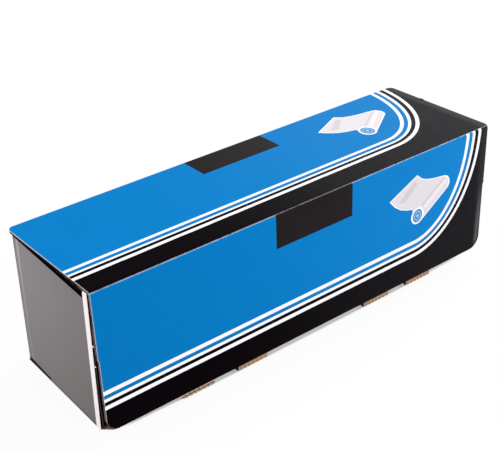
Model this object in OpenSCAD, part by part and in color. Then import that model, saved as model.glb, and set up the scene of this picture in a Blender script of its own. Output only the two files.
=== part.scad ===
// Foil dispenser carton: a corrugated tray with a hinged lid, a serrated steel
// cutter and a roll of aluminium foil wound on a paperboard core.

/* [Foil roll] */
// Width of the foil web
roll_w = 300; // [200:1:450]
// Length of foil on the roll, in metres
foil_length = 200; // [50:10:250]
// Thickness of the foil
foil_t = 0.018; // [0.011:0.001:0.02]
// Outer diameter of the core
core_od = 38; // [30:1:50]
// Wall of the core
core_wall = 2; // [1:0.25:4]
// How far the core stands out of each end of the roll
core_proud = 0.3; // [0.1:0.1:0.3]
// Height of the step where the outer turn of foil ends
tail_step = 0.4; // [0.1:0.1:0.6]
// Depth of the steps between the turns on the roll's end faces
turn_step = 0.3; // [0.1:0.1:0.5]
// Number of stepped bands of turns on each end face
turn_bands = 9; // [2:1:16]

/* [Board and clearances] */
// Thickness of the corrugated board
board_t = 1.6; // [1.2:0.1:2.4]
// Thickness of each paper liner on the board's two faces
liner_t = 0.35; // [0.2:0.05:0.45]
// Pitch of the flutes between the liners
flute_pitch = 3.2; // [2:0.1:5]
// How far the flutes have sunk in between the liners at the lid's raw sides
flute_recess = 0.8; // [0.2:0.1:1.6]
// Free length between the roll and each end of the tray
end_clear = 0.4; // [0.4:0.1:3]
// Free depth between the roll and the tray's front and rear walls, in all
side_clear = 4.1; // [1:0.1:8]
// Gap between the lid and the edges that it rests on
seat_gap = 0.3; // [0.2:0.05:0.6]
// Gap between the roll and the tray's bottom
roll_seat = 0.1; // [0.05:0.05:0.3]

/* [Tray] */
// Height of the rear wall and the board above it, up to the lid's outer face
rear_h = 96.6; // [90:0.1:130]
// How far the front wall's corner posts stand above the rear of the lid
front_rise = 1.3; // [-2:0.1:4]
// How far the end panels stop below the lid's inner face
end_drop = 3.8; // [1:0.1:20]
// How much lower the end panels' top edge comes at the front than at the rear
end_fall = 2.2; // [0:0.1:4]
// Width of the bare fold that wraps each front corner
corner_band = 4.6; // [2:0.1:8]
// How far the bare fold stops below the front wall's top
band_drop = 2.4; // [0:0.1:6]
// How far the corner fold stands out of the end panel
band_proud = 0.4; // [0.2:0.1:1]
// Radius of the folds at the tray's upright corners
corner_r = 1.8; // [1.6:0.1:3]
// Width of the glued flaps inside each end
inner_flap_w = 34; // [20:1:36]
// How far the inner flaps stop below the lowest point of the end panels' top edge
inner_flap_drop = 3; // [1:0.5:20]
// Length of the lifted stretch at each end panel's foot
foot_relief_l = 28; // [5:1:60]
// Height of the lifted stretch at each end panel's foot
foot_relief_h = 1.2; // [0.4:0.1:1.5]

/* [Lid] */
// How far the lid reaches past each end of the tray
lid_overhang = 2.5; // [1:0.1:6]
// Room between the lid's front flap and the tray's front wall
slot_w = 5.9; // [4.5:0.1:14]
// Height of the torn stubs' tips above the floor
flap_lift = 3; // [1:0.1:12]
// Outer radius of the fold along the top front edge
fold_r = 2.6; // [2.2:0.1:6]
// Radius of the lid's rear corners
rear_corner_r = 5; // [1:0.5:12]
// Radius of the flap's lower corners
flap_corner_r = 9; // [2:0.5:20]
// Distance from the top fold to the step in the flap's side edges
side_step_at = 44; // [20:0.5:60]
// Depth of the step in the flap's side edges
side_step = 0.6; // [0.2:0.1:2]
// Depth of the small nicks in the flap's side edges
nick_d = 0.7; // [0.2:0.1:1.5]
// Height of the torn stubs along the flap's lower edge
stub_h = 3.2; // [0.5:0.1:5]
// Width of each torn stub
stub_w = 22.6; // [10:0.2:30]

/* [Cutter] */
// Thickness of the steel strip
cutter_t = 0.3; // [0.2:0.05:0.6]
// Height of the strip below its teeth
cutter_h = 11; // [6:0.5:20]
// Pitch of the teeth
tooth_pitch = 3; // [2:0.25:6]
// Height of the teeth
tooth_h = 2; // [1:0.1:3]
// How far the front wall is cut down between its corner posts
front_dip = 2.8; // [2:0.1:6]
// Width of the corner posts beside the cut-down stretch
post_w = 9; // [6:0.5:20]
// Distance that the strip stops short of each end of the tray
cutter_inset = 2; // [0:0.5:8]

/* [Hidden] */
$fn = 96;
mm_per_m = 1000;
// Extra length of a cutting shape, past the face that it cuts
spill = 1;
// Left edge of each torn stub, as a share of the flap's half length
stub_places = [-0.662, -0.4, 0.274, 0.529];
// Run of a stub's right shoulder, and how far its shoulders start up the flap
stub_shoulder = 0.6;
stub_root = 0.5;
// Places of the nicks in the flap's side edges, as shares of its height
nick_places = [0.24, 0.8];
// Rounding of the corner fold's upper end, as a share of its width
band_round = 0.6;
// Depth of the bare flutes on a torn stub, as a share of the board, and their
// width as a share of the pitch
flute_bite = 0.25;
flute_share = 0.6;

foil_area = foil_length * mm_per_m * foil_t;
roll_od = sqrt(foil_area * 4 / PI + core_od * core_od);
roll_r = roll_od / 2;

tray_l = roll_w + 2 * (end_clear + 2 * board_t);
lid_l = tray_l + 2 * lid_overhang;
inner_d = roll_od + side_clear;
front_y = board_t + slot_w;
depth = front_y + inner_d + 2 * board_t;
tray_d = depth - front_y;

front_h = rear_h + front_rise;
end_h = rear_h - board_t - end_drop;

hinge_y = depth - board_t / 2;
hinge_z = rear_h - board_t / 2;
rear_wall_h = rear_h - board_t - seat_gap;

// The lid rests on the top of the front wall, at the wall's inner edge.
seat_run = hinge_y - (front_y + board_t);
seat_rise = front_h + seat_gap - hinge_z;
lid_tilt = atan2(seat_rise, seat_run) + asin(board_t / 2 / norm([seat_run, seat_rise]));

// The flap's length puts its stubs' tips at their height above the floor.
flap_foot = (flap_lift - hinge_z - (hinge_y - board_t) * sin(lid_tilt)) / cos(lid_tilt);
flap_h = rear_h - hinge_z - flap_foot - stub_h;
front_most = hinge_y - hinge_y * cos(lid_tilt) + flap_foot * sin(lid_tilt);
mid_y = (front_most + depth) / 2;

roll_y = front_y + board_t + inner_d / 2;
roll_z = board_t + roll_r + roll_seat;

board_color = [0.07, 0.06, 0.07];
kraft_color = [0.62, 0.46, 0.31];
print_color = [0.05, 0.50, 0.80];
steel_color = [0.72, 0.73, 0.75];
foil_color = [0.82, 0.83, 0.85];
core_color = [0.58, 0.47, 0.34];

// Sets a piece drawn from the lid's left front corner into the part's frame.
module in_frame() {
    translate([-lid_l / 2, -mid_y, 0]) children();
}

// The sliver that is taken off to round one corner of a flat outline.
module corner_sliver(r) {
    difference() {
        translate([-spill, -spill]) square(r + spill);
        translate([r, r]) circle(r);
    }
}

// A sheet standing upright, drawn as x and height and thickened along Y.
module upright_sheet(y, t = board_t) {
    translate([0, y + t, 0]) rotate([90, 0, 0]) linear_extrude(t) children();
}

// Front wall: tall corner posts with rounded tops, cut down between them.
module front_wall() {
    top_r = corner_band / 2;
    upright_sheet(front_y) difference() {
        translate([lid_overhang, 0]) square([tray_l, front_h]);
        translate([lid_overhang + post_w, front_h - front_dip])
            square([tray_l - 2 * post_w, front_dip + spill]);
        translate([lid_overhang, front_h]) mirror([0, 1]) corner_sliver(top_r);
        translate([lid_overhang + tray_l, front_h]) mirror([1, 0]) mirror([0, 1])
            corner_sliver(top_r);
    }
}

module rear_wall() {
    upright_sheet(depth - board_t) translate([lid_overhang, 0])
        square([tray_l, rear_wall_h]);
}

module bottom_panel() {
    translate([lid_overhang, front_y, 0]) cube([tray_l, tray_d, board_t]);
}

// Lays an outline drawn as y and height on the plane x, thickened along +X.
module end_sheet(x, t = board_t) {
    translate([x, 0, 0]) rotate([90, 0, 90]) linear_extrude(t) children();
}

// One end of the tray: outer panel, the two glued inner flaps and the bare
// fold that wraps the front corner.
module tray_end() {
    inner_h = end_h - end_fall - inner_flap_drop;
    end_sheet(lid_overhang) polygon([
        [front_y, 0], [depth, 0], [depth, end_h], [front_y, end_h - end_fall]
    ]);
    end_sheet(lid_overhang + board_t) {
        translate([front_y + board_t, board_t]) square([inner_flap_w, inner_h - board_t]);
        translate([depth - board_t - inner_flap_w, board_t])
            square([inner_flap_w, inner_h - board_t]);
    }
    end_sheet(lid_overhang - band_proud, band_proud + board_t) difference() {
        translate([front_y, 0]) square([corner_band, front_h - band_drop]);
        translate([front_y + corner_band, front_h - band_drop])
            mirror([1, 0]) mirror([0, 1]) corner_sliver(corner_band * band_round);
    }
}

// Rounds both upright folds of one end, and lifts the end's foot off the floor.
module tray_corner_cuts() {
    upright = front_h + 2 * spill;
    translate([lid_overhang, depth, -spill]) mirror([0, 1, 0])
        linear_extrude(upright) corner_sliver(corner_r);
    translate([lid_overhang - band_proud, front_y, -spill])
        linear_extrude(upright) corner_sliver(corner_r);
    translate([lid_overhang - spill, depth - foot_relief_l, -spill])
        cube([board_t + spill, foot_relief_l + spill, foot_relief_h + spill]);
}

module tray_body() {
    difference() {
        union() {
            bottom_panel();
            front_wall();
            rear_wall();
            tray_end();
            translate([lid_l, 0, 0]) mirror([1, 0, 0]) tray_end();
        }
        tray_corner_cuts();
        translate([lid_l, 0, 0]) mirror([1, 0, 0]) tray_corner_cuts();
    }
}

module tray() {
    color(board_color) in_frame() tray_body();
}

// Outline of the front flap, seen from the front: x across, y down from the fold.
module flap_outline() {
    reach = flap_h - fold_r;
    step_down = side_step_at - fold_r;
    difference() {
        union() {
            square([lid_l, step_down]);
            translate([side_step, step_down]) square([lid_l - 2 * side_step, reach - step_down]);
            for (place = stub_places) stub(place, reach);
        }
        translate([side_step, reach]) mirror([0, 1]) corner_sliver(flap_corner_r);
        translate([lid_l - side_step, reach]) mirror([1, 0]) mirror([0, 1])
            corner_sliver(flap_corner_r);
        for (at = nick_places) for (side = [0, 1]) {
            step = flap_h * at > side_step_at ? side_step : 0;
            translate([side * lid_l + (1 - 2 * side) * step, flap_h * at - fold_r])
                rotate(45) square(nick_d, center = true);
        }
    }
}

// One torn stub, with a slanted shoulder on its left.
module stub(place, reach) {
    left = lid_l / 2 * (1 + place);
    polygon([
        [left - stub_h, reach - stub_root], [left, reach + stub_h],
        [left + stub_w, reach + stub_h], [left + stub_w + stub_shoulder, reach - stub_root]
    ]);
}

// Section of the top front fold: a quarter ring, seen along X.
module fold_section() {
    intersection() {
        difference() {
            circle(fold_r);
            circle(fold_r - board_t);
        }
        translate([-fold_r, 0]) square(fold_r);
    }
}

// Top panel of the lid, with its rounded rear corners and rolled hinge edge.
module lid_panel() {
    difference() {
        union() {
            translate([0, fold_r, rear_h - board_t])
                cube([lid_l, hinge_y - fold_r, board_t]);
            translate([0, hinge_y, hinge_z]) rotate([0, 90, 0])
                cylinder(d = board_t, h = lid_l);
        }
        translate([0, depth, rear_h - 2 * board_t]) mirror([0, 1, 0])
            linear_extrude(3 * board_t) corner_sliver(rear_corner_r);
        translate([lid_l, depth, rear_h - 2 * board_t]) mirror([1, 0, 0]) mirror([0, 1, 0])
            linear_extrude(3 * board_t) corner_sliver(rear_corner_r);
    }
}

// Section of the space between the liners, from the hinge round to the flap's foot.
module between_liners() {
    flutes = board_t - 2 * liner_t;
    translate([fold_r, rear_h - liner_t - flutes]) square([hinge_y - fold_r, flutes]);
    translate([fold_r, rear_h - fold_r]) intersection() {
        difference() {
            circle(fold_r - liner_t);
            circle(fold_r - liner_t - flutes);
        }
        translate([-fold_r, 0]) square(fold_r);
    }
    translate([liner_t, rear_h - side_step_at]) square([flutes, side_step_at - fold_r]);
}

// The open flutes along the lid's raw left side, which step in with the flap.
module side_flutes() {
    flutes = board_t - 2 * liner_t;
    low = rear_h - flap_h - spill;
    translate([-spill, 0, 0]) rotate([90, 0, 90])
        linear_extrude(flute_recess + spill) between_liners();
    translate([-spill, liner_t, low])
        cube([flute_recess + side_step + spill, flutes, rear_h - side_step_at - low]);
}

// Upright flutes laid bare on the face of one torn stub.
module stub_flutes(place) {
    bite = board_t * flute_bite;
    half = flute_pitch * flute_share / 2;
    radius = (half * half + bite * bite) / (2 * bite);
    left = lid_l / 2 * (1 + place);
    tall = stub_h + stub_root + spill;
    for (x = [half : flute_pitch : stub_w - half])
        translate([left + x, bite - radius, rear_h - flap_h - tall + stub_root])
            cylinder(r = radius, h = tall);
}

module lid_shut() {
    difference() {
        union() {
            lid_panel();
            translate([0, fold_r, rear_h - fold_r]) rotate([90, 0, 90])
                linear_extrude(lid_l) fold_section();
            translate([0, board_t, rear_h - fold_r]) rotate([-90, 0, 0]) mirror([0, 0, 1])
                linear_extrude(board_t) flap_outline();
        }
        side_flutes();
        translate([lid_l, 0, 0]) mirror([1, 0, 0]) side_flutes();
        for (place = stub_places) stub_flutes(place);
    }
}

module lid() {
    color(print_color) in_frame()
        translate([0, hinge_y, hinge_z]) rotate([-lid_tilt, 0, 0])
            translate([0, -hinge_y, -hinge_z]) lid_shut();
}

// Outline of the steel strip: a band with a saw-toothed upper edge.
module cutter_outline() {
    span = tray_l - 2 * (post_w + cutter_inset);
    teeth = floor(span / tooth_pitch);
    run = teeth * tooth_pitch;
    start = lid_l / 2 - run / 2;
    root = front_h - seat_gap - tooth_h;
    foot = root - cutter_h;
    polygon(concat(
        [[start, foot]],
        [for (i = [0 : teeth - 1], top = [0, 1])
            [start + (i + top / 2) * tooth_pitch, root + top * tooth_h]],
        [[start + run, root], [start + run, foot]]
    ));
}

module cutter_strip() {
    color(steel_color) in_frame()
        upright_sheet(front_y - cutter_t, cutter_t) cutter_outline();
}

// Section of the wound foil: a round with one step where the outer turn ends.
module roll_section() {
    difference() {
        union() {
            circle(roll_r);
            intersection() {
                translate([0, tail_step]) circle(roll_r);
                translate([-roll_od, 0]) square([roll_od, roll_od]);
            }
        }
        circle(d = core_od);
    }
}

// The bands of turns step in a little at each end of the roll.
module end_steps() {
    band = (roll_r - core_od / 2) / (turn_bands + 1);
    for (i = [1 : turn_bands]) if (i % 2 == 1)
        translate([0, 0, -spill]) linear_extrude(turn_step + spill) difference() {
            circle(core_od / 2 + (i + 1) * band - band / 2);
            circle(core_od / 2 + i * band - band / 2);
        }
}

// Lays a shape that stands on its end along X, on the roll's axis.
module on_roll_axis(length) {
    translate([lid_l / 2 - length / 2, roll_y, roll_z]) rotate([90, 0, 90]) children();
}

module foil_roll() {
    color(foil_color) in_frame() on_roll_axis(roll_w) difference() {
        linear_extrude(roll_w) roll_section();
        end_steps();
        translate([0, 0, roll_w]) mirror([0, 0, 1]) end_steps();
    }
}

module core_tube() {
    core_l = roll_w + 2 * core_proud;
    color(core_color) in_frame() on_roll_axis(core_l) difference() {
        cylinder(d = core_od, h = core_l);
        translate([0, 0, -spill])
            cylinder(d = core_od - 2 * core_wall, h = core_l + 2 * spill);
    }
}

tray();
lid();
cutter_strip();
foil_roll();
core_tube();
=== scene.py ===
import math

import bmesh
import bpy
from mathutils import Matrix, Vector
from mathutils.geometry import tessellate_polygon


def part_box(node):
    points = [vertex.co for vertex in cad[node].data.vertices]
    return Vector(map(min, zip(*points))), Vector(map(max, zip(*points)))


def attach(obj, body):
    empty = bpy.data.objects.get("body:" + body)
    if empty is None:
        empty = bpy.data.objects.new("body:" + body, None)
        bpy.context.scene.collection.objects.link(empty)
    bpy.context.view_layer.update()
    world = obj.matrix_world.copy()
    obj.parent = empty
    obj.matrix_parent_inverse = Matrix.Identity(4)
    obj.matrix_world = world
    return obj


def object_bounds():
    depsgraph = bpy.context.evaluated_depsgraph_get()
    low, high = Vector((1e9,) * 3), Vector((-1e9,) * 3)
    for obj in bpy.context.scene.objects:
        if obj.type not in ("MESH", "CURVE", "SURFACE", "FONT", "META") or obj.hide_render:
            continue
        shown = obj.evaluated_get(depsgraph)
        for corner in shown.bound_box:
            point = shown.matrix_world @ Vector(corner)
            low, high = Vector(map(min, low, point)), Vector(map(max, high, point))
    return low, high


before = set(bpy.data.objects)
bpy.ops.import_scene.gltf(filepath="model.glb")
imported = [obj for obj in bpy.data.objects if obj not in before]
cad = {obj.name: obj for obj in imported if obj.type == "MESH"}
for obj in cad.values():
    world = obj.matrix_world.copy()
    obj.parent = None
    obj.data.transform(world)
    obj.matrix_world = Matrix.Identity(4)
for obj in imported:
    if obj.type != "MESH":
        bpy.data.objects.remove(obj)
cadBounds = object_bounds()
mm = 0.001

# The lid's sizes in millimetres as it lies shut and level, before its resting tilt: x from its left edge,
# y from the flap's outer face, z from the floor.
lidSheet = {
    "length": 312.2, "depth": 92.438, "height": 96.6, "board": 1.6, "foldRadius": 2.6,
    "tilt": 2.22066, "middleY": 44.38651, "flapHeight": 93.9612, "rearCorner": 5.0,
    "flapCorner": 9.0, "sideStepAt": 44.0, "sideStep": 0.6,
    "stubs": (-0.662, -0.4, 0.274, 0.529),  # left edge of each torn stub, as a share of the half length
}
hingeY = lidSheet["depth"] - lidSheet["board"] / 2
hingeZ = lidSheet["height"] - lidSheet["board"] / 2
tilt = math.radians(lidSheet["tilt"])
arcHalf = lidSheet["foldRadius"] * math.pi / 4


def turned(y, z):  # a point of the shut, level lid, set at the lid's resting tilt
    dy, dz = y - hingeY, z - hingeZ
    return (dy * math.cos(tilt) + dz * math.sin(tilt) + hingeY,
            -dy * math.sin(tilt) + dz * math.cos(tilt) + hingeZ)


def toFrame(x, y, z):  # from those millimetres to metres in the shared frame
    return Vector(((x - lidSheet["length"] / 2) * mm, (y - lidSheet["middleY"]) * mm, z * mm))


def onLid(x, s, lift=0.0):  # s runs over the outer face: 0 along the front fold, + down the flap
    radius = lidSheet["foldRadius"]
    if s < -arcHalf:
        y, z = radius - s - arcHalf, lidSheet["height"] + lift
        if y > hingeY:  # round the rear edge
            angle = (y - hingeY) / (lidSheet["board"] / 2)
            reach = lidSheet["board"] / 2 + lift
            y, z = hingeY + reach * math.sin(angle), hingeZ + reach * math.cos(angle)
    elif s <= arcHalf:
        angle = (s + arcHalf) / radius
        y = radius - (radius + lift) * math.sin(angle)
        z = lidSheet["height"] - radius + (radius + lift) * math.cos(angle)
    else:
        y, z = -lift, lidSheet["height"] - radius - (s - arcHalf)
    return toFrame(x, *turned(y, z))


def topS(d):  # d is the distance from the rear edge
    return -(lidSheet["depth"] - d - lidSheet["foldRadius"]) - arcHalf


def flapS(d):  # d is the distance below the top's level
    return d - lidSheet["foldRadius"] + arcHalf


def lidSection(y, z):  # a point of the shut lid's section, in the frame
    return toFrame(0, *turned(y, z))


foldBend = lidSheet["foldRadius"] * (1 - math.cos(math.pi / 4))
foldLine = lidSection(foldBend, lidSheet["height"] - foldBend)
stepLine = lidSection(0, lidSheet["height"] - lidSheet["sideStepAt"]).z
flapFoot = lidSection(0, lidSheet["height"] - lidSheet["flapHeight"]).z
lidCorner = lidSection(0, lidSheet["height"])
endX = lidSheet["length"] / 2 * mm


def fromScreen(red, green, blue):
    def linear(value):
        value /= 255
        return value / 12.92 if value <= 0.04045 else ((value + 0.055) / 1.055) ** 2.4
    return (linear(red), linear(green), linear(blue), 1.0)


class Tap:  # one output socket, with the arithmetic that the finishes use
    def __init__(self, nodes, socket):
        self.nodes, self.socket = nodes, socket

    def maths(self, operation, *others):
        return self.nodes.node("ShaderNodeMath", {"operation": operation}, [self, *others])

    def __add__(self, other):
        return self.maths("ADD", other)

    def __sub__(self, other):
        return self.maths("SUBTRACT", other)

    def __rsub__(self, other):
        return self.nodes.node("ShaderNodeMath", {"operation": "SUBTRACT"}, [other, self])

    def __mul__(self, other):
        return self.maths("MULTIPLY", other)

    def __truediv__(self, other):
        return self.maths("DIVIDE", other)

    __radd__, __rmul__ = __add__, __mul__

    def size(self):  # the value without its sign
        return self.maths("ABSOLUTE")

    def step(self, low, high):  # 0 at low, 1 at high, smooth between; low may be the larger
        if low > high:
            return 1 - self.step(high, low)
        return self.nodes.node("ShaderNodeMapRange", {"interpolation_type": "SMOOTHSTEP"},
                               {"Value": self, "From Min": low, "From Max": high})


class NodeTree:  # a node tree, emptied and ready to fill
    def __init__(self, tree):
        self.tree = tree
        tree.nodes.clear()

    def node(self, kind, settings=None, values=(), out=0):
        made = self.tree.nodes.new(kind)
        for key, value in (settings or {}).items():
            setattr(made, key, value)
        for key, value in (values.items() if isinstance(values, dict) else enumerate(values)):
            if isinstance(value, Tap):
                self.tree.links.new(value.socket, made.inputs[key])
            else:
                made.inputs[key].default_value = value
        return Tap(self, made.outputs[out])

    def seen(self):  # 1 for a ray from the camera, off a gloss or through something clear
        camera, glossy, clear = (self.node("ShaderNodeLightPath", out="Is " + kind + " Ray")
                                 for kind in ("Camera", "Glossy", "Transmission"))
        return camera.maths("MAXIMUM", glossy).maths("MAXIMUM", clear)

    def end(self, kind, surface):
        output = self.tree.nodes.new(kind)
        self.tree.links.new(surface.socket, output.inputs["Surface"])


class Finish(NodeTree):  # one material, worked out from the piece's own coordinates
    def __init__(self, name):
        self.material = bpy.data.materials.new(name)
        self.material.use_nodes = True
        super().__init__(self.material.node_tree)
        self.place = self.node("ShaderNodeTexCoord", out="Object")
        self.x, self.y, self.z = (self.node("ShaderNodeSeparateXYZ", {}, [self.place], out=i)
                                  for i in range(3))

    def mix(self, factor, first, second):
        return self.node("ShaderNodeMix", {"data_type": "RGBA"}, {0: factor, 6: first, 7: second}, out=2)

    def shade(self, colour, amount):  # a colour made darker or lighter by a number
        return self.node("ShaderNodeVectorMath", {"operation": "SCALE"}, {0: colour[:3], "Scale": amount})

    def stretched(self, x, y, z):
        return self.node("ShaderNodeVectorMath", {"operation": "MULTIPLY"}, [self.place, (x, y, z)])

    def noise(self, scale, detail=2.0, rough=0.5, place=None):
        return self.node("ShaderNodeTexNoise", {}, {"Vector": place or self.place, "Scale": scale,
                                                    "Detail": detail, "Roughness": rough})

    def wave(self, along, pitch):
        return (along * (2 * math.pi / pitch)).maths("SINE")

    def bump(self, height, distance, under=None):
        values = {"Strength": 1.0, "Distance": distance, "Height": height}
        if under is not None:
            values["Normal"] = under
        return self.node("ShaderNodeBump", {}, values)

    def done(self, colour, rough, normal, metal=0.0, specular=0.5):
        shader = self.node("ShaderNodeBsdfPrincipled", {}, {
            "Base Color": colour, "Roughness": rough, "Metallic": metal,
            "Specular IOR Level": specular, "Normal": normal})
        self.end("ShaderNodeOutputMaterial", shader)
        return self.material


def addPiece(name, points, faces, material, body, thick=0.0):
    mesh = bpy.data.meshes.new(name)
    mesh.from_pydata([tuple(point) for point in points], [], faces)
    mesh.materials.append(material)
    work = bmesh.new()
    work.from_mesh(mesh)
    bmesh.ops.remove_doubles(work, verts=work.verts, dist=1e-6)
    work.to_mesh(mesh)
    work.free()
    piece = bpy.data.objects.new(name, mesh)
    bpy.context.scene.collection.objects.link(piece)
    if thick:
        shell = piece.modifiers.new("thickness", "SOLIDIFY")
        shell.thickness, shell.offset = thick, -1
    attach(piece, body)


print("camera and light")
shot = {
    "place": (-0.37304, -0.45320, 0.41616),
    "right": (0.780279, -0.625353, -0.009934),
    "up": (0.331222, 0.399702, 0.854711),
    "back": (-0.530525, -0.670204, 0.519009),
    "lens": 76.87,
}
cameraData = bpy.data.cameras.new("camera")
cameraData.lens = shot["lens"]
cameraData.sensor_width = 36
cameraData.clip_start, cameraData.clip_end = 0.01, 20
camera = bpy.data.objects.new("camera", cameraData)
bpy.context.scene.collection.objects.link(camera)
turn = Matrix((shot["right"], shot["up"], shot["back"])).transposed().to_4x4()
camera.matrix_world = Matrix.Translation(shot["place"]) @ turn
bpy.context.scene.camera = camera
bpy.context.scene.view_settings.view_transform = "Standard"

lamps = {
    "keyLamp": {"place": (-0.1, -2.1, 1.7), "size": (1.8, 1.2), "power": 19.5},
    "sheenLamp": {"place": (1.5, 0.2, 1.5), "size": (1.2, 1.0), "power": 23},
    "sideLamp": {"place": (-2.0, -0.5, 0.9), "size": (1.2, 1.2), "power": 8},
}
lampAim = Vector((0, 0, 0.05))
for name, lamp in lamps.items():
    lampData = bpy.data.lights.new(name, "AREA")
    lampData.shape = "RECTANGLE"
    lampData.size, lampData.size_y = lamp["size"]
    lampData.energy = lamp["power"]
    lampObject = bpy.data.objects.new(name, lampData)
    bpy.context.scene.collection.objects.link(lampObject)
    towards = (lampAim - Vector(lamp["place"])).to_track_quat("-Z", "Y").to_matrix().to_4x4()
    lampObject.matrix_world = Matrix.Translation(lamp["place"]) @ towards

room = {"level": 0.7, "behind": 1.0}
world = bpy.data.worlds.new("room")
world.use_nodes = True
bpy.context.scene.world = world
air = NodeTree(world.node_tree)
strength = air.node("ShaderNodeMapRange", {}, {"Value": air.seen(), "To Min": room["level"],
                                               "To Max": room["behind"]})
air.end("ShaderNodeOutputWorld",
        air.node("ShaderNodeBackground", {}, {"Color": (1, 1, 1, 1), "Strength": strength}))

floorLook = {
    "half": 2.5, "paper": (0.92, 0.885, 0.905, 1), "dark": (0.02, 0.015, 0.015, 1),
    "white": 0.92, "whiteInShade": 0.31,  # share of plain white that the camera sees
    # edges of the close shade below the carton, each from clear to full, and how its front edge tapers
    "foot": (-0.0454, -0.0447), "rear": (0.0485, 0.0475), "side": (0.146, 0.132),
    "taper": 0.0017, "taperRun": (0.07, 0.135),
    "trayFront": (-0.0366, -0.0362), "trayEnd": (0.1541, 0.1537),  # the painted shadow right below the tray
}
ground = Finish("floorFinish")
groundPaper = ground.node("ShaderNodeBsdfDiffuse", {}, {"Color": floorLook["paper"]})
groundPaintedShadow = ground.node("ShaderNodeBsdfDiffuse", {}, {"Color": floorLook["dark"]})
groundGlow = ground.node("ShaderNodeEmission", {}, {"Color": (1, 1, 1, 1), "Strength": 1.0})
farX = ground.x.size()
tapering = farX.step(*floorLook["taperRun"]) * floorLook["taper"]
ahead = ground.y.step(*floorLook["rear"])
underFlap = (ground.y - tapering).step(*floorLook["foot"]) * ahead * farX.step(*floorLook["side"])
paintedShadowUnderTray = ground.y.step(*floorLook["trayFront"]) * ahead * farX.step(*floorLook["trayEnd"])
white = floorLook["white"] - underFlap * (floorLook["white"] - floorLook["whiteInShade"])
lit = ground.node("ShaderNodeMixShader", {}, [ground.seen() * white, groundPaper, groundGlow])
ground.end("ShaderNodeOutputMaterial",
           ground.node("ShaderNodeMixShader", {}, [paintedShadowUnderTray, lit, groundPaintedShadow]))
half = floorLook["half"]
floorMesh = bpy.data.meshes.new("floor")
floorMesh.from_pydata([(-half, -half, 0), (half, -half, 0), (half, half, 0), (-half, half, 0)],
                      [], [(0, 1, 2, 3)])
floorMesh.materials.append(ground.material)
floor = bpy.data.objects.new("floor", floorMesh)
bpy.context.scene.collection.objects.link(floor)

print("finishes")
# Pairs in the settings below are the two ends of a smooth step, in metres unless a note says otherwise.
fluteLook = {"pitch": 0.0032, "liner": 0.00036, "blur": 0.00006, "wall": 0.00016, "height": 0.00042}
printWear = {
    "paintedSheen": (0.85, 0.87, 0.92, 1), "paintedSheenShare": 0.029,  # painted sheen: a dull veil of light that grows to the right
    "sheenTop": (-0.6, 0.9), "sheenFlap": (-0.6, 1.4),  # where it grows, as shares of the half length
    "rim": (0.0085, 0.003), "rimShare": 1.1,  # more painted sheen along the right edge
    "bare": fromScreen(224, 219, 220), "crease": (0.0005, 0.0002), "fray": (0.0005, 0.0001),
    # the flap's bowed right edge: strength, distance in, lean, width, and where it ends above and below
    "bow": 0.08, "bowIn": 0.0042, "bowLean": 0.03, "bowWidth": (0.0032, 0.0004),
    "bowTop": (0.062, 0.03), "bowFoot": (0.006, 0.014),
    "shine": 0.5, "specular": 0.012,
}


def printedBoard(name, colour, paintedSheen=1.0, mottle=0.05, cracks=0.55, paintedLightRun=0.0):
    f = Finish(name)
    cloud = f.noise(26, 3)
    grain = f.noise(900, 3, 0.6)
    blotch = f.noise(260, 2)
    scuff = f.noise(330, 4, 0.65, f.stretched(1, 3, 3))
    flutes = f.wave(f.x, fluteLook["pitch"])
    along = f.x / endX
    onTop = f.y.step(foldLine.y - 0.0005, foldLine.y + 0.001)
    onFlap = 1 - onTop
    tone = 1 + (cloud - 0.5) * mottle + (grain - 0.5) * mottle * 1.6 + flutes * mottle * 0.06
    if paintedLightRun:  # painted light: the flap's ink grows lighter from left to right
        tone = tone + along * paintedLightRun * onFlap
    # painted sheen: a pale veil of light over the print that grows to the right, most along the right edge,
    # half as strong on the flap
    paintedSheenAmount = along.step(*printWear["sheenTop"]) * onTop + along.step(*printWear["sheenFlap"]) * onFlap
    paintedSheenAmount = paintedSheenAmount * (1 + (blotch - 0.5) * 0.6 + (cloud - 0.5) * 0.5)
    paintedSheenAmount = paintedSheenAmount + (endX - f.x).step(*printWear["rim"]) * printWear["rimShare"]
    paintedSheenAmount = paintedSheenAmount * (0.5 + onTop * 0.5)
    ink = f.mix(paintedSheenAmount * paintedSheen * printWear["paintedSheenShare"], f.shade(colour, tone), printWear["paintedSheen"])

    dy, dz = f.y - foldLine.y, f.z - foldLine.z
    crease = (dy * dy + dz * dz).maths("SQRT").step(*printWear["crease"]) * scuff.step(0.22, 0.6)
    stepped = f.z.step(stepLine + 0.0002, stepLine - 0.0002) * lidSheet["sideStep"] * mm
    fray = (endX - f.x.size() - stepped).step(*printWear["fray"]) * (0.26 + scuff.step(0.35, 0.62) * 0.4)
    worn = (crease * cracks).maths("MAXIMUM", fray)
    bowed = (f.x - f.z * printWear["bowLean"] - (endX - printWear["bowIn"])).size()
    bowed = bowed.step(*printWear["bowWidth"]) * f.y.step(foldLine.y, foldLine.y - 0.0005)
    bowed = bowed * f.z.step(*printWear["bowTop"]) * f.z.step(*printWear["bowFoot"])
    ink = f.mix(bowed * (0.5 + scuff) * printWear["bow"], ink, printWear["bare"])
    ink = f.mix(worn, ink, printWear["bare"])
    shine = printWear["shine"] + (blotch - 0.5) * 0.12 + worn * 0.25
    relief = f.bump(flutes * 0.18 + grain * 0.35 + blotch * 0.8, 0.00004)
    return f.done(ink, shine, relief, specular=printWear["specular"])


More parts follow.
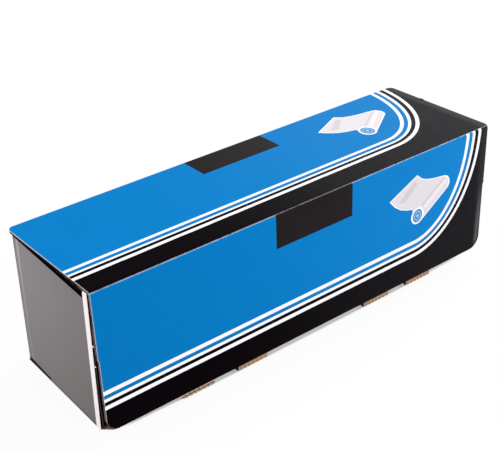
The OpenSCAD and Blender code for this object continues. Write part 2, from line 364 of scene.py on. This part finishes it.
printBlue = printedBoard("printBlue", fromScreen(3, 120, 190), paintedSheen=0.6, paintedLightRun=0.13)
printBlack = printedBoard("printBlack", fromScreen(5, 1, 4), mottle=0.3, cracks=0.22)
plateBlack = printedBoard("plateBlack", fromScreen(31, 26, 28), mottle=0.3, cracks=0.22)
printWhite = printedBoard("printWhite", fromScreen(242, 243, 245), mottle=0.03)
signWhite = printedBoard("signWhite", fromScreen(246, 246, 248), mottle=0.03)
signPale = printedBoard("signPale", fromScreen(218, 214, 218), mottle=0.16)
signShade = printedBoard("signShade", fromScreen(203, 199, 204), mottle=0.2)
signGleam = printedBoard("signGleam", fromScreen(230, 227, 230), mottle=0.1)
signBlue = printedBoard("signBlue", fromScreen(62, 140, 195))
signLight = printedBoard("signLight", fromScreen(160, 196, 222))


def rawKraft(name, colour):
    f = Finish(name)
    fibre = f.noise(1400, 4, 0.7, f.stretched(1, 0.25, 0.25))
    fleck = f.noise(2600, 2).step(0.62, 0.7)
    cloud = f.noise(40, 3)
    flutes = f.wave(f.x, fluteLook["pitch"])
    tone = 1 + (fibre - 0.5) * 0.5 + (cloud - 0.5) * 0.16 + flutes * 0.025
    board = f.mix(fleck * 0.5, f.shade(colour, tone), f.shade(colour, 0.36))
    relief = f.bump(fibre * 0.7 + flutes * 0.8, 0.00005)
    return f.done(board, 0.82 + (fibre - 0.5) * 0.1, relief, specular=0.2)


kraft = rawKraft("kraft", fromScreen(176, 140, 104))
cutKraft = rawKraft("cutKraft", fromScreen(166, 134, 112))
fluteShade = rawKraft("fluteShade", fromScreen(32, 25, 25))
crumpled = rawKraft("crumpled", fromScreen(122, 98, 92))

stubLook = {
    "board": fromScreen(174, 143, 118), "ink": fromScreen(11, 6, 10),
    # the left stub's layers, from the flap's edge down: pale liner, a row of dark flutes, inner liner
    "pale": fromScreen(206, 178, 158), "flutes": fromScreen(104, 86, 70), "inner": fromScreen(168, 148, 134),
    "ragged": 0.0012, "row": 0.0015, "rowWidth": (0.0007, 0.0003), "innerFrom": (0.0021, 0.0026),
    # across: where the left stub's layers end, from the second stub's left edge, and the inked shoulder of
    # each stub but the left one, from its own left edge
    "layersEnd": (-0.009, -0.01), "shoulderFrom": (-0.005, -0.0045), "shoulderTo": (0.0005, -0.0001),
}


def tornLayers(name):  # the left stub shows its dark flutes, the others bare board and an inked shoulder
    f = Finish(name)
    fibre = f.noise(1400, 4, 0.7, f.stretched(1, 0.25, 0.25))
    ragged = f.noise(420, 3, 0.6)
    grain = 1 + (fibre - 0.5) * 0.5 + (f.noise(90, 2) - 0.5) * 0.3
    below = flapFoot - f.z + (ragged - 0.5) * stubLook["ragged"]
    starts = [share * endX for share in lidSheet["stubs"][1:]]
    first = (f.x - starts[0]).step(*stubLook["layersEnd"])
    row = (below - stubLook["row"]).size().step(*stubLook["rowWidth"]) * ragged.step(0.3, 0.45) * first
    layers = f.mix(first, f.shade(stubLook["board"], grain), f.shade(stubLook["pale"], grain))
    layers = f.mix(row, layers, f.shade(stubLook["flutes"], grain))
    layers = f.mix(below.step(*stubLook["innerFrom"]) * first, layers, f.shade(stubLook["inner"], grain))
    shoulders = 0
    for start in starts:
        across = f.x - start
        shoulders = across.step(*stubLook["shoulderFrom"]) * across.step(*stubLook["shoulderTo"]) + shoulders
    layers = f.mix(shoulders, layers, stubLook["ink"])
    return f.done(layers, 0.85, f.bump(fibre * 0.7 - row * 0.8, 0.0001), specular=0.1)


tornKraft = tornLayers("tornKraft")

cutEdge = {
    "endLight": fromScreen(196, 164, 138), "endDark": fromScreen(72, 52, 42),
    # the side: the outer liner greys to the front, the inner one is dark and pressed paler in places
    "outer": fromScreen(226, 217, 220), "outerFront": fromScreen(172, 165, 162), "greying": (-0.012, -0.032),
    "inner": fromScreen(40, 29, 28), "innerPressed": fromScreen(158, 146, 142), "pressing": (-0.01, -0.03),
    "layersMeet": (0.00088, 0.00072),
}


def depthInBoard(f):  # metres in from the lid's outer faces
    sine, cosine = math.sin(tilt), math.cos(tilt)
    fromTop = (lidCorner.y * sine + lidCorner.z * cosine) - (f.y * sine + f.z * cosine)
    fromFlap = (-lidCorner.y * cosine + lidCorner.z * sine) - (f.z * sine - f.y * cosine)
    return fromTop.maths("MINIMUM", fromFlap)


def fluteEnds(name):  # the flap's lower edge: two liners and the web that waves between them
    f = Finish(name)
    fibre = f.noise(1500, 4, 0.7)
    middle = lidSheet["board"] * mm / 2
    fromMiddle = depthInBoard(f) - middle
    linerFrom, blur = middle - fluteLook["liner"], fluteLook["blur"]
    liner = fromMiddle.size().step(linerFrom - blur, linerFrom + blur)
    ripple = f.wave(f.x, fluteLook["pitch"]) * fluteLook["height"]
    web = (fromMiddle - ripple).size().step(fluteLook["wall"] * 1.3, fluteLook["wall"] * 0.7)
    light = f.shade(cutEdge["endLight"], 1 + (fibre - 0.5) * 0.6)
    dark = f.shade(cutEdge["endDark"], 1 + (fibre - 0.5) * 0.5)
    colour = f.mix(liner.maths("MAXIMUM", web), dark, light)
    return f.done(colour, 0.85, f.bump(fibre, 0.00006), specular=0.15)


def fluteSide(name):
    f = Finish(name)
    fibre = f.noise(1500, 4, 0.7)
    grain = 1 + (fibre - 0.5) * 0.6
    pressed = f.noise(45, 3, 0.6).step(0.36, 0.52) * f.y.step(*cutEdge["pressing"])
    dark = f.shade(cutEdge["inner"], 1 + (fibre - 0.5) * 0.5)
    inner = f.mix(pressed, dark, cutEdge["innerPressed"])
    outer = f.mix(f.y.step(*cutEdge["greying"]), f.shade(cutEdge["outer"], grain),
                  f.shade(cutEdge["outerFront"], grain))
    colour = f.mix(depthInBoard(f).step(*cutEdge["layersMeet"]), inner, outer)
    return f.done(colour, 0.85, f.bump(fibre, 0.00006), specular=0.1)


lowerEdge = fluteEnds("lowerEdge")
sideEdge = fluteSide("sideEdge")

charcoalLook = {
    # the grey ink is dark print lightened by painted sheen
    "ink": fromScreen(100, 94, 93), "pale": fromScreen(235, 232, 236), "paintedEndSheen": 0.125, "paintedEndSheenTop": 0.09,
    "end": (0.004, 0.003),  # in from the carton's ends
    # a scored line, and a pressed line painted pale as a highlight, beside the rear fold: distance forward,
    # width and ink
    "scored": 0.0021, "scoredWidth": (0.0007, 0.0002), "scoredInk": fromScreen(58, 52, 52),
    "pressed": 0.0062, "pressedWidth": (0.0017, 0.0003), "pressedHighlightInk": fromScreen(196, 191, 190),
    "waver": 0.0009, "fading": (0.02, 0.088),
    # painted shade below the end's lifted foot: how far forward it runs, its height, and its two colours
    "lifted": (0.0285, 0.0265), "paintedFootShade": 0.0018, "paintedShadeRise": 0.0015, "paintedShadeRun": (0.028, 0.0),
    "paintedShadeDark": fromScreen(4, 0, 0), "paintedShadeBrown": fromScreen(42, 22, 20), "browning": (0.003, 0.01),
}


def charcoalBoard(name):
    f = Finish(name)
    cloud = f.noise(30, 3)
    grain = f.noise(1000, 3, 0.6)
    streak = f.noise(180, 3, 0.6, f.stretched(1, 1, 0.12))
    tone = 1 + (cloud - 0.5) * 0.12 + (grain - 0.5) * 0.14 + (streak - 0.5) * 0.1
    # painted sheen: the charcoal grows paler towards the rear and the top
    paintedEndSheen = f.y.step(cadBounds[0].y, cadBounds[1].y) * 0.6 + f.z.step(0.0, charcoalLook["paintedEndSheenTop"]) * 0.4
    ink = f.mix(paintedEndSheen * charcoalLook["paintedEndSheen"], f.shade(charcoalLook["ink"], tone), charcoalLook["pale"])

    onEnd = (cadBounds[1].x - f.x.size()).step(*charcoalLook["end"])
    fromRear = cadBounds[1].y - f.y
    wavering = fromRear + (f.noise(38, 2) - 0.5) * charcoalLook["waver"]
    scored = (wavering - charcoalLook["scored"]).size().step(*charcoalLook["scoredWidth"]) * onEnd
    pressed = (wavering - charcoalLook["pressed"]).size().step(*charcoalLook["pressedWidth"]) * onEnd
    fading = f.z.step(*charcoalLook["fading"])
    # painted highlight: the pressed line is painted pale
    pressedHighlightShare = pressed * (fading * 0.75 + 0.15) * streak.step(0.2, 0.7)
    ink = f.mix(pressedHighlightShare, ink, charcoalLook["pressedHighlightInk"])
    ink = f.mix(scored * (fading * 0.4 + 0.3), ink, charcoalLook["scoredInk"])

    # painted shade along the lifted foot: black at the rear, browner forward
    paintedShadeTop = fromRear.step(*charcoalLook["paintedShadeRun"]) * charcoalLook["paintedShadeRise"] + charcoalLook["paintedFootShade"]
    paintedFootShade = fromRear.step(*charcoalLook["lifted"]) * (f.z - paintedShadeTop).step(0.0002, -0.0002) * onEnd
    browning = fromRear.step(*charcoalLook["browning"])
    ink = f.mix(paintedFootShade, ink, f.mix(browning, charcoalLook["paintedShadeDark"], charcoalLook["paintedShadeBrown"]))
    relief = f.bump(grain * 0.4 + streak * 0.6 + (pressed - scored) * 1.5, 0.00005)
    return f.done(ink, 0.5 + (cloud - 0.5) * 0.1 + paintedFootShade * 0.4, relief, specular=0.25)


def foldPaper(name):
    f = Finish(name)
    grain = f.noise(900, 4, 0.65)
    smear = f.noise(60, 3, 0.6, f.stretched(1, 1, 0.3))
    paper = f.shade(fromScreen(250, 244, 245), 1 + (grain - 0.5) * 0.05 - smear.step(0.6, 0.8) * 0.06)
    return f.done(paper, 0.7, f.bump(grain + smear, 0.00005), specular=0.25)


charcoal = charcoalBoard("charcoal")
bareFold = foldPaper("bareFold")

wallLook = {
    "ink": fromScreen(11, 6, 10), "brown": fromScreen(96, 78, 76),
    # the worn upright fold: distance in from the ends, flare at its foot, width, waver and top end
    "fold": 0.00335, "flare": 0.0006, "flareFoot": (0.02, 0.004), "foldWidth": (0.00032, 0.0001),
    "waver": 0.0004, "foldTop": (0.082, 0.07),
    "footHeight": (0.0024, 0.0008), "footFrom": (0.14, 0.15),  # brown board along the wall's foot
}


def wallInk(name):  # the dark front wall
    f = Finish(name)
    grain = f.noise(900, 3, 0.6)
    scuff = f.noise(240, 4, 0.65, f.stretched(1, 1, 0.3))
    waver = (f.noise(60, 2, 0.5, f.stretched(0, 0, 1)) - 0.5) * wallLook["waver"]
    foldAt = cadBounds[1].x - wallLook["fold"] - f.z.step(*wallLook["flareFoot"]) * wallLook["flare"]
    worn = (f.x.size() + waver - foldAt).size().step(*wallLook["foldWidth"]) * f.z.step(*wallLook["foldTop"])
    worn = worn * (0.35 + scuff.step(0.3, 0.6) * 0.65)
    low = f.z.step(*wallLook["footHeight"]) * scuff.step(0.25, 0.5) * f.x.size().step(*wallLook["footFrom"])
    ink = f.mix(worn.maths("MAXIMUM", low * 0.7), f.shade(wallLook["ink"], 1 + (grain - 0.5) * 0.5),
                wallLook["brown"])
    return f.done(ink, 0.55, f.bump(grain * 0.4 + worn * 2, 0.00005), specular=0.02)


def cutterSteel(name):
    f = Finish(name)
    brush = f.noise(500, 4, 0.7, f.stretched(0.05, 1, 4))
    spot = f.noise(120, 3)
    steel = f.shade(fromScreen(196, 198, 202), 1 + (brush - 0.5) * 0.3)
    return f.done(steel, 0.3 + (spot - 0.5) * 0.15, f.bump(brush, 0.00002), metal=1.0)


def woundFoil(name):
    f = Finish(name)
    axisY, axisZ = (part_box("core_tube")[0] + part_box("core_tube")[1]).yz / 2
    dy, dz = f.y - axisY, f.z - axisZ
    radius = (dy * dy + dz * dz).maths("SQRT")
    turns = f.noise(9000, 2, 0.6, f.node("ShaderNodeCombineXYZ", {}, [radius, 0.0, 0.0]))
    wrinkle = f.noise(24, 4, 0.55, f.stretched(0.35, 1, 1))
    line = f.noise(400, 3, 0.6, f.stretched(1, 0.02, 0.02))
    foil = f.shade(fromScreen(184, 186, 190), 1 + (line - 0.5) * 0.16 + (turns - 0.5) * 0.3)
    relief = f.bump(wrinkle * 2 + line * 0.25, 0.0007, f.bump(turns, 0.00008))
    return f.done(foil, 0.3 + (wrinkle - 0.5) * 0.2, relief, metal=1.0)


def corePaper(name):
    f = Finish(name)
    fibre = f.noise(1200, 4, 0.7)
    seam = f.wave(f.x + f.z * 0.6, 0.06).step(0.985, 1.0)
    paper = f.shade(fromScreen(158, 138, 114), 1 + (fibre - 0.5) * 0.4 - seam * 0.3)
    return f.done(paper, 0.85, f.bump(fibre - seam * 0.8, 0.00008), specular=0.2)


wallBlack = wallInk("wallBlack")

# Distances in millimetres that tell the faces of the CAD pieces apart.
lidZones = {"rawSide": 0.75, "sunkenSide": 1.5, "flutes": (0.2, 1.4), "outerFace": 0.85, "lowEdgeBelow": 40}
trayZones = {"foldEnd": 2.1, "foldRun": 4.7, "wallTop": 60, "postFrom": 140, "endFace": 0.6, "rearFace": 2,
             "frontFace": 0.3, "bottomFace": 1.5}
down = Vector((0, -math.sin(tilt), -math.cos(tilt)))
outward = Vector((0, -math.cos(tilt), math.sin(tilt)))
trayLow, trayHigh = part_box("tray")


def lidFinish(centre, normal):
    fromSide = lidSheet["length"] / 2 - abs(centre.x)
    if abs(normal.x) > 0.6:
        return sideEdge if fromSide < lidZones["rawSide"] else fluteShade
    toFace = lidCorner / mm - centre
    inFrom = min(toFace.dot(-down), toFace.dot(outward))
    nearest, deepest = lidZones["flutes"]
    if fromSide < lidZones["sunkenSide"] and nearest < inFrom < deepest:
        return fluteShade
    if inFrom < lidZones["outerFace"] and max(normal.dot(-down), normal.dot(outward)) > 0.5:
        return tornKraft
    if normal.dot(down) > 0.6 and centre.z < lidZones["lowEdgeBelow"]:
        return lowerEdge
    return kraft


def trayFinish(centre, normal):
    fromEnd = trayHigh.x / mm - abs(centre.x)
    fromFront, fromRear = centre.y - trayLow.y / mm, trayHigh.y / mm - centre.y
    if fromEnd < trayZones["foldEnd"] and fromFront < trayZones["foldRun"]:
        return bareFold if normal.y > -0.66 else wallBlack
    # painted shade: the tops of the walls near the ends take the black wall finish, for the dark under the
    # lid
    if normal.z > 0.8 and centre.z > trayZones["wallTop"]:
        return wallBlack if abs(centre.x) > trayZones["postFrom"] else cutKraft
    if normal.z > 0.8:
        return kraft
    if abs(normal.x) > 0.8 and fromEnd < trayZones["endFace"]:
        return charcoal
    if normal.y > 0.05 and fromRear < trayZones["rearFace"]:
        return charcoal
    if normal.y < -0.9 and fromFront < trayZones["frontFace"]:
        return wallBlack
    return charcoal if normal.z < -0.9 and centre.z < trayZones["bottomFace"] else kraft


def paint(node, materials, choose=None):  # one finish, or the chosen one for each face of a CAD piece
    mesh = cad[node].data
    mesh.materials.clear()
    for material in materials:
        mesh.materials.append(material)
    for polygon in mesh.polygons:
        chosen = choose(polygon.center / mm, polygon.normal) if choose else materials[0]
        polygon.material_index = materials.index(chosen)


paint("lid", [tornKraft, kraft, sideEdge, lowerEdge, fluteShade], lidFinish)
paint("tray", [kraft, charcoal, bareFold, cutKraft, wallBlack], trayFinish)
paint("cutter_strip", [cutterSteel("cutterSteel")])
paint("foil_roll", [woundFoil("woundFoil")])
paint("core_tube", [corePaper("corePaper")])

print("print on the lid")
printLook = {
    "lift": 0.05, "thick": 0.00009, "slant": 0.004, "edge": 0.06, "steps": 40, "foldSteps": 5,
    # the strips over the rear edge: where they start, how far they run, and how far in from the lid's ends
    "rearStart": 0.8, "rearOver": 1.2, "rearIn": 3.4,
    # centre of the stripes' turn, and the half axes of their six boundaries, from the inside out
    "top": {"centre": (244.0, -8.05), "across": (47.85, 50.6, 53.65, 56.35, 59.7, 62.4),
            "along": (71.1, 73.55, 76.4, 78.15, 80.75, 83.4)},
    "flap": {"centre": (243.9, -2.55), "across": (47.3, 50.15, 53.35, 56.0, 59.15, 61.9),
             "along": (66.5, 69.25, 71.9, 74.05, 76.6, 79.3)},
}
fields = ("Blue", "White", "Blue", "White", "Black", "White", "Black")
inks = {"Blue": printBlue, "White": printWhite, "Black": printBlack}
inset, lift, rearStart = (printLook[key] for key in ("edge", "lift", "rearStart"))
foldRadius, rearCorner = lidSheet["foldRadius"], lidSheet["rearCorner"]
middleOfCarton = Vector((0, 0, 0.045))


def boundary(face, k, start):  # points (x, d) from the left edge to where the line meets d = start
    look = printLook[face]
    (turnX, turnD), across, along = look["centre"], look["across"][k], look["along"][k]
    onStep = face == "flap" and turnD + along > lidSheet["sideStepAt"]
    left = inset + (lidSheet["sideStep"] if onStep else 0)
    xs = [left + rearCorner * (i / 8) ** 2 for i in range(8)]
    xs += [rearCorner + left + (turnX - rearCorner - left) * i / printLook["steps"]
           for i in range(printLook["steps"])]
    points = [(x, turnD + along + (turnX - x) * printLook["slant"]) for x in xs]
    last = math.asin((start - turnD) / along)
    for i in range(printLook["steps"] + 1):
        angle = math.pi / 2 + (last - math.pi / 2) * i / printLook["steps"]
        points.append((turnX + across * math.cos(angle), turnD + along * math.sin(angle)))
    return points


def arc(centre, radius, degrees):  # points (x, d) round a centre, from + x towards + d
    return [(centre[0] + radius * math.cos(math.radians(angle)),
             centre[1] + radius * math.sin(math.radians(angle))) for angle in degrees]


def outline(face):  # the outer edge of the last field, from the lower left round to the upper right
    right = lidSheet["length"] - inset
    if face == "top":
        foot = lidSheet["depth"] - foldRadius
        rear = arc((lidSheet["length"] - rearCorner, rearCorner), rearCorner - inset, range(0, -60, -10))
        return [(inset, foot), (right, foot), (right, rearCorner)] + rear
    radius, step = lidSheet["flapCorner"], lidSheet["sideStep"]
    low = lidSheet["flapHeight"] - radius
    return [*arc((step + radius, low), radius - inset, range(180, 89, -9)),
            *arc((lidSheet["length"] - step - radius, low), radius - inset, range(90, -1, -9)),
            (right - step, lidSheet["sideStepAt"]), (right, lidSheet["sideStepAt"]), (right, foldRadius)]


def rearRound(x):  # how far the rounded rear corner has come in at x
    into = min(max(x - inset, 0), rearCorner)
    return rearCorner - math.sqrt(max(rearCorner ** 2 - (rearCorner - into) ** 2, 0))


def fieldFaces(face, k, start):  # one field of print on the flat of a face
    toS = topS if face == "top" else flapS
    faces, points = [], []

    def add(polygon):
        base = len(points)
        points.extend(onLid(x, toS(d), lift) for x, d in polygon)
        faces.append(tuple(range(base, base + len(polygon))))

    def upperEnd(x):
        return max(start, rearRound(x) if face == "top" else 0)

    if k == len(fields) - 1:
        ring = boundary(face, k - 1, start)[::-1] + outline(face)
        for triangle in tessellate_polygon([[Vector((x, d, 0)) for x, d in ring]]):
            add([ring[i] for i in triangle])
        return points, faces
    outer = boundary(face, k, start)
    inner = boundary(face, k - 1, start) if k else [(x, upperEnd(x)) for x, d in outer]
    for i in range(len(outer) - 1):
        add([inner[i], outer[i], outer[i + 1], inner[i + 1]])
    return points, faces


def strip(x0, x1, rows, height):  # one quad wide, with a row of two points at each s
    points = [onLid(x, s, height) for s in rows for x in (x0, x1)]
    return points, [(2 * i, 2 * i + 1, 2 * i + 3, 2 * i + 2) for i in range(len(rows) - 1)]


def overFold(x0, x1, s0, s1):  # carries a field over a fold, at unchanged x
    steps = printLook["foldSteps"]
    return strip(x0, x1, [s0 + (s1 - s0) * i / steps for i in range(steps + 1)], lift)


def fieldEnds(face, start, left):  # the x of the fields' sides, where they meet a fold
    lines = [boundary(face, k, start)[-1][0] for k in range(len(fields) - 1)]
    return [left, *lines, lidSheet["length"] - left]


def join(parts):
    points, faces = [], []
    for more, rings in parts:
        base = len(points)
        points += more
        faces += [tuple(base + i for i in ring) for ring in rings]
    return points, faces


def outwardFaces(points, faces, middle):  # turns each face so that it looks away from the middle
    turnedFaces = []
    for ring in faces:
        first, second, third = (points[i] for i in ring[:3])
        normal = (second - first).cross(third - first)
        centre = sum((points[i] for i in ring), Vector()) / len(ring)
        turnedFaces.append(ring if normal.dot(centre - middle) > 0 else ring[::-1])
    return turnedFaces


def addPrint(name, points, faces, material, thick):
    addPiece(name, points, outwardFaces(points, faces, middleOfCarton), material, "lid", thick)


foldEnds = fieldEnds("flap", foldRadius, inset)
rearEnds = fieldEnds("top", rearStart, printLook["rearIn"])
for ink in ("Blue", "White", "Black"):
    onTop, onFlap = [], []
    for k, field in enumerate(fields):
        if field != ink:
            continue
        onTop.append(fieldFaces("top", k, rearStart))
        onFlap.append(fieldFaces("flap", k, foldRadius))
        onFlap.append(overFold(foldEnds[k], foldEnds[k + 1], 0.0, arcHalf))
        onTop.append(overFold(rearEnds[k], rearEnds[k + 1], topS(rearStart),
                              topS(rearStart - printLook["rearOver"])))
    if ink == "Blue":  # the narrow strip beside the flap's stepped left edge
        onFlap.append(strip(inset, inset + lidSheet["sideStep"],
                            [flapS(foldRadius), flapS(lidSheet["sideStepAt"])], lift))
    if ink == "Black":
        onTop.append(overFold(inset, lidSheet["length"] - inset, -arcHalf, 0.0))
    for name, parts in (("top" + ink, onTop), ("flap" + ink, onFlap)):
        addPrint(name, *join(parts), inks[ink], printLook["thick"])

plates = {
    "lift": 0.09, "thick": 0.00003,
    "top": {"sides": (126.0, 188.0), "rows": [topS(0.8), topS(22.2)]},
    "flap": {"sides": (126.0, 187.2), "rows": [arcHalf * i / 6 for i in range(7)] + [flapS(23.5)]},
}
for face in ("top", "flap"):
    plate = plates[face]
    addPrint(face + "Plate", *strip(*plate["sides"], plate["rows"], plates["lift"]), plateBlack,
             plates["thick"])

# A plain sign of a foil roll: a drawn-out sheet, the roll and its round end.
sign = {
    "thick": 0.00003, "lift": 0.09, "layer": 0.02,  # each shape lies one layer above what it covers
    "end": (27.0, 31.6), "middle": (27.0, 17.0), "shrink": 0.952,
    "top": {"at": (219.2, 11.8), "tall": 1.04, "round": 6.2},
    "flap": {"at": (219.6, 14.0), "tall": 1.0, "round": 5.9},
    "outline": ((0.5, 12.2), (25.1, 1.0), (27.0, 2.6), (29.7, 5.0), (34.5, 7.0), (40.7, 8.5), (47.0, 9.4),
                (52.0, 10.2), (55.1, 11.6), (56.7, 14.5), (57.0, 17.2), (55.7, 20.0), (49.5, 24.1),
                (39.5, 30.7), (30.6, 36.6), (24.0, 33.0), (22.0, 25.4), (15.7, 23.7), (10.7, 21.6),
                (5.7, 17.9), (2.6, 14.7)),
    "wrinkle": ((22.6, 5.0), (26.0, 7.4), (14.6, 17.6), (8.6, 16.0)),
    "crease": ((30.4, 24.9), (50.8, 11.5), (51.9, 12.3), (31.7, 25.8)),
    "gleam": ((32.6, 26.6), (52.6, 13.2), (54.3, 15.0), (34.6, 28.8)),
    # the rings of the roll's end, as shares of its round: across, tall
    "rings": (("Rim", 1.0, 1.04, signWhite), ("End", 0.75, 0.83, signBlue), ("Turns", 0.54, 0.6, signLight),
              ("Inner", 0.43, 0.48, signBlue), ("Core", 0.2, 0.23, signLight)),
}


def disc(across, tall, count=32):  # an oval about the middle of the roll's end
    return [(sign["end"][0] + across * math.cos(2 * math.pi * i / count),
             sign["end"][1] + tall * math.sin(2 * math.pi * i / count)) for i in range(count)]


def addSignShape(face, label, ring, material, layer):
    (atX, atD), tall = sign[face]["at"], sign[face]["tall"]
    height = sign["lift"] + sign["layer"] * layer
    flat = [(atX + x, atD + d * tall) for x, d in ring]
    toS = topS if face == "top" else flapS
    faces = [tuple(triangle) for triangle in tessellate_polygon([[Vector((x, d, 0)) for x, d in flat]])]
    addPrint(face + "Sign" + label, [onLid(x, toS(d), height) for x, d in flat], faces, material,
             sign["thick"])


for face in ("top", "flap"):
    radius = sign[face]["round"]
    middle, shrink = Vector(sign["middle"]), sign["shrink"]
    sheet = [tuple(middle + (Vector(point) - middle) * shrink) for point in sign["outline"]]
    addSignShape(face, "Paper", sign["outline"], signWhite, 0)
    addSignShape(face, "Sheet", sheet, signPale, 1)
    addSignShape(face, "Wrinkle", sign["wrinkle"], signShade, 2)
    addSignShape(face, "Crease", sign["crease"], signShade, 2)
    addSignShape(face, "Gleam", sign["gleam"], signGleam, 2)
    for layer, (label, across, tall, finish) in enumerate(sign["rings"], 3):
        addSignShape(face, label, disc(radius * across, radius * tall), finish, layer)

print("torn nicks beside the corner folds")
nick = {  # in millimetres
    "heights": (59.8, 45.8), "reach": 1.0, "half": 0.45, "board": 0.4, "in": 0.5,
    # forward and upward, as shares of the reach and of the half height
    "profile": ((0.7, -1), (-0.5, -0.8), (-1, 0.1), (-0.4, 0.9), (0.7, 1)),
}
count = len(nick["profile"])
for side, label in ((-1, "Left"), (1, "Right")):
    outer = side * (trayHigh.x / mm - nick["in"])
    points, faces = [], []
    for height in nick["heights"]:
        base = len(points)
        points += [Vector((x * mm, trayLow.y + y * nick["reach"] * mm, (height + z * nick["half"]) * mm))
                   for x in (outer, outer - side * nick["board"]) for y, z in nick["profile"]]
        rings = [tuple(range(base, base + count)), tuple(range(base + count, base + 2 * count))[::-1]]
        for i in range(count):
            after = (i + 1) % count
            rings.append((base + after, base + i, base + count + i, base + count + after))
        faces += rings if side < 0 else [ring[::-1] for ring in rings]
    addPiece("nicks" + label, points, faces, bareFold, "carton")

print("crumpled foot and lifted liner")
foot = {  # in millimetres, in the frame
    "plan": ((-153.4, -36.6), (-152.2, -37.7), (-150.6, -38.8), (-148.9, -40.5), (-147.2, -41.4),
             (-144.5, -42.0), (-142.0, -40.6), (-141.0, -36.8)),
    "heights": (0.5, 0.9, 0.5, 0.9, 0.4, 0.7, 0.4, 0.6), "low": 0.1, "peak": (-147.5, -38.2, 1.1),
}
count = len(foot["plan"])
points = [Vector((x, y, foot["low"])) * mm for x, y in foot["plan"]]
points += [Vector((x, y, z)) * mm for (x, y), z in zip(foot["plan"], foot["heights"])]
points.append(Vector(foot["peak"]) * mm)
faces = [(i, (i + 1) % count, count + (i + 1) % count, count + i) for i in range(count)]
faces += [(count + i, count + (i + 1) % count, 2 * count) for i in range(count)]
faces.append(tuple(range(count))[::-1])
addPiece("crumpledFoot", points, faces, crumpled, "carton")

curl = {  # in millimetres, on the lid
    "outer": lidSheet["length"] - 0.1, "inner": lidSheet["length"] - 2.0, "lift": 0.5, "innerLift": 0.15,
    "profile": ((30.4, 0.1), (30.9, 1.0), (33.4, 0.75), (34.6, 0.1)),  # from the rear edge, share of the lift
}
points = []
for d, share in curl["profile"]:
    points += [onLid(curl["outer"], topS(d)), onLid(curl["outer"], topS(d), curl["lift"] * share),
               onLid(curl["inner"], topS(d)), onLid(curl["inner"], topS(d), curl["innerLift"])]
faces = [(0, 1, 3, 2), (12, 14, 15, 13)]
for near in (0, 4, 8):  # each row's four points run round in the order 0, 1, 3, 2
    for one, two in ((0, 1), (1, 3), (3, 2), (2, 0)):
        faces.append((near + one, near + 4 + one, near + 4 + two, near + two))
curlMiddle = sum(points, Vector()) / len(points)
addPiece("liftedLiner", points, outwardFaces(points, faces, curlMiddle), fluteShade, "lid")
